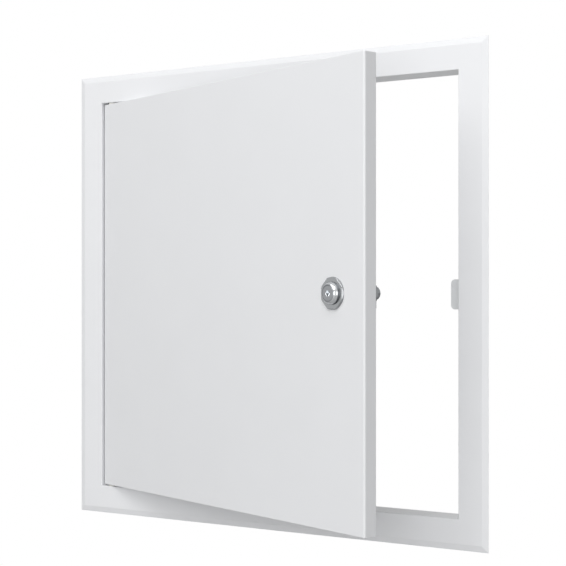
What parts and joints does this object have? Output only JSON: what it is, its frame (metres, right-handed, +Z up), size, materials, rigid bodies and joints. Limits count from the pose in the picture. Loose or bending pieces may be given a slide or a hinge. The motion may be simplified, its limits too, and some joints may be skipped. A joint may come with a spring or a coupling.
{
  "type": "access panel door",
  "caption": "Flush square access panel: flanged steel frame with a hinged folded steel door on concealed pivots and a cam latch, standing ajar.",
  "frame": {"origin": "on the wall face of the flange, in the middle of its bottom edge", "axes": "+X along the width from the hinge side to the latch side, +Y into the wall, +Z up; the door faces -Y"},
  "size_m": [0.356, 0.1243, 0.356],
  "materials": {
    "frame_paint": "satin white powder coat",
    "door_paint": "satin white powder coat",
    "strike_paint": "satin powder coat",
    "zinc_steel": "zinc plated",
    "lock_chrome": "nickel chrome plated",
    "hinge_nylon": "moulded"
  },
  "bodies": {
    "frame": {"frame_head": "frame_paint", "frame_sill": "frame_paint", "frame_hinge_jamb": "frame_paint", "frame_latch_jamb": "frame_paint", "strike_plate": "strike_paint", "upper_hinge_pin": "zinc_steel", "lower_hinge_pin": "zinc_steel", "upper_hinge_washer": "hinge_nylon", "lower_hinge_washer": "hinge_nylon"},
    "door": {"door_pan": "door_paint", "upper_hinge_plate": "zinc_steel", "lower_hinge_plate": "zinc_steel", "lock_collar": "lock_chrome", "lock_housing": "lock_chrome", "lock_nut": "zinc_steel"},
    "cam": {"lock_plug": "lock_chrome", "latch_cam": "zinc_steel", "cam_nut": "zinc_steel"}
  },
  "joints": [
    {"name": "door_swing", "type": "hinge", "parent": "frame", "child": "door", "pos_m": [-0.148, 0.0027, 0.178], "axis": [0, 0, -1], "range_deg": [-19.9, 80.1]},
    {"name": "cam_turn", "type": "hinge", "parent": "door", "child": "cam", "pos_m": [0.1068, -0.094, 0.1787], "axis": [-0.3404, -0.9403, 0], "range_deg": [0, 90]}
  ]
}
